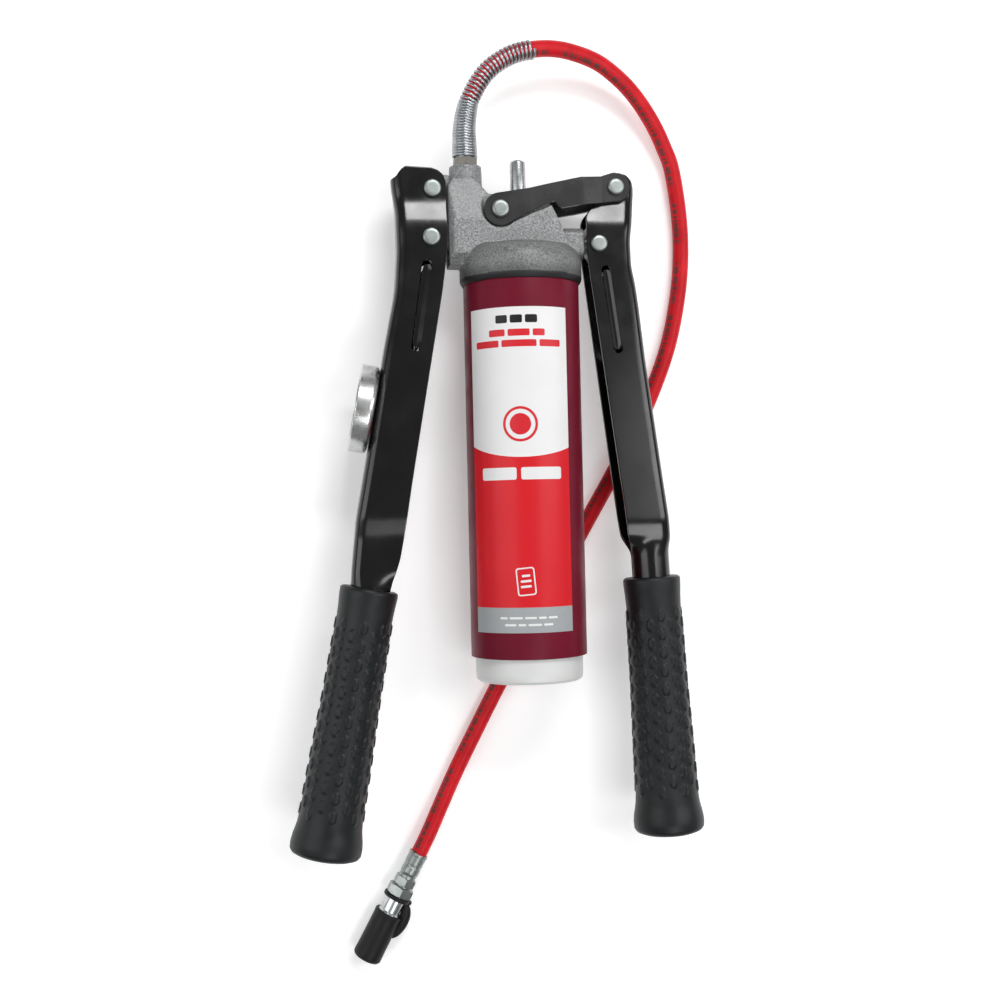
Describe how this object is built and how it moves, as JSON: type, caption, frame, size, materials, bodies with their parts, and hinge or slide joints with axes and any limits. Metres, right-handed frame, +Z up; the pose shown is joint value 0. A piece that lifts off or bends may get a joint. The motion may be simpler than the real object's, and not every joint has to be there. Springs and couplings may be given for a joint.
{
  "type": "lever grease gun",
  "caption": "Hand-lever grease gun with a screw-in cartridge barrel, two gripped handles, a toggle-driven pump, a magnet pot and a red hose ending in a capped nipple coupler.",
  "frame": {"origin": "on the table, under the middle of the gun's bounding box without its hose; the gun lies on its back on its collar and on the hose that crosses under the barrel", "axes": "+Y up along the barrel towards the pump head and hose outlet, +X towards the moving lever, +Z up from the table"},
  "size_m": [0.2311, 0.5083, 0.0716],
  "materials": {
    "cast_alloy": "fine grained bare die casting",
    "barrel_paint": "maroon powder coat",
    "seal_rubber": "smooth moulded rubber",
    "cartridge_plastic": "white moulded polyethylene",
    "follower_plastic": "natural moulded polyethylene",
    "ground_steel": "ground bright steel",
    "spring_steel": "plated spring wire",
    "zinc_steel": "pale zinc plate",
    "bright_zinc": "bright nickel plate",
    "black_paint": "semi gloss black paint",
    "grip_rubber": "matte moulded rubber with raised pads",
    "ferrite": "ground ferrite",
    "hose_rubber": "red thermoplastic cover with dark dashes",
    "cap_rubber": "soft moulded rubber"
  },
  "bodies": {
    "root": {"pump_head": "cast_alloy", "barrel": "barrel_paint", "barrel_seal": "seal_rubber", "cartridge_seal": "seal_rubber", "plunger_seal": "seal_rubber", "check_spring": "spring_steel", "outlet_adapter": "zinc_steel", "bleed_spring": "spring_steel", "fixed_handle": "black_paint", "fixed_grip": "grip_rubber", "handle_rivets": "zinc_steel", "link_pivot_pin": "zinc_steel", "magnet_cup": "bright_zinc", "magnet_disc": "ferrite", "magnet_rivet": "zinc_steel", "hose": "hose_rubber", "spring_guard": "spring_steel", "hose_ferrule_head": "zinc_steel", "hose_ferrule_tip": "zinc_steel", "coupler_adapter": "zinc_steel", "coupler_body": "zinc_steel", "coupler_spring": "spring_steel", "dust_cap_strap": "cap_rubber"},
    "toggle_link": {"toggle_link": "black_paint"},
    "lever": {"lever_handle": "black_paint", "lever_grip": "grip_rubber", "lever_link_pin": "zinc_steel", "plunger_pin": "zinc_steel"},
    "plunger": {"plunger": "ground_steel"},
    "cartridge": {"cartridge_shell": "cartridge_plastic", "cartridge_end_cap": "cartridge_plastic"},
    "follower": {"cartridge_follower": "follower_plastic"},
    "bleed_stem": {"bleed_stem": "ground_steel"},
    "check_ball": {"check_ball": "ground_steel"},
    "coupler_jaws": {"coupler_jaws": "ground_steel", "coupler_seal": "seal_rubber"},
    "dust_cap": {"dust_cap": "cap_rubber"}
  },
  "joints": [
    {"name": "link_swing", "type": "hinge", "parent": "root", "child": "toggle_link", "pos_m": [0.0056, 0.15617, 0.03197], "axis": [0, 0.0356, 0.9994], "range_deg": [-1.5, 1.5]},
    {"name": "lever_squeeze", "type": "hinge", "parent": "toggle_link", "child": "lever", "pos_m": [0.0689, 0.16917, 0.03151], "axis": [0, 0.0356, 0.9994], "range_deg": [-3, 40]},
    {"name": "plunger_stroke", "type": "slide", "parent": "root", "child": "plunger", "axis": [1, 0, 0], "range_m": [-0.002, 0.0225]},
    {"name": "cartridge_withdraw", "type": "slide", "parent": "root", "child": "cartridge", "axis": [0, -0.9994, 0.0356], "range_m": [0, 0.235]},
    {"name": "follower_travel", "type": "slide", "parent": "cartridge", "child": "follower", "axis": [0, 0.9994, -0.0356], "range_m": [0, 0.175]},
    {"name": "bleed_press", "type": "slide", "parent": "root", "child": "bleed_stem", "axis": [0, -0.9994, 0.0356], "range_m": [0, 0.0025], "stiffness_N_per_m": 600, "springref_m": -0.004, "deforming": ["bleed_spring"]},
    {"name": "valve_lift", "type": "slide", "parent": "root", "child": "check_ball", "axis": [0, 0.9994, -0.0356], "range_m": [0, 0.0015], "stiffness_N_per_m": 200, "springref_m": -0.004, "deforming": ["check_spring"]},
    {"name": "jaw_press", "type": "slide", "parent": "root", "child": "coupler_jaws", "axis": [0.4733, 0.8809, 0], "range_m": [0, 0.0012], "stiffness_N_per_m": 600, "springref_m": -0.003, "deforming": ["coupler_spring"]},
    {"name": "dust_cap_pull", "type": "slide", "parent": "root", "child": "dust_cap", "axis": [-0.4733, -0.8809, 0], "range_m": [0, 0.042], "deforming": ["dust_cap_strap"]}
  ],
  "couplings": [
    {"joint": "link_swing", "follows": "lever_squeeze", "ratio": -0.019},
    {"joint": "plunger_stroke", "follows": "lever_squeeze", "m_per_rad": 0.0314}
  ]
}
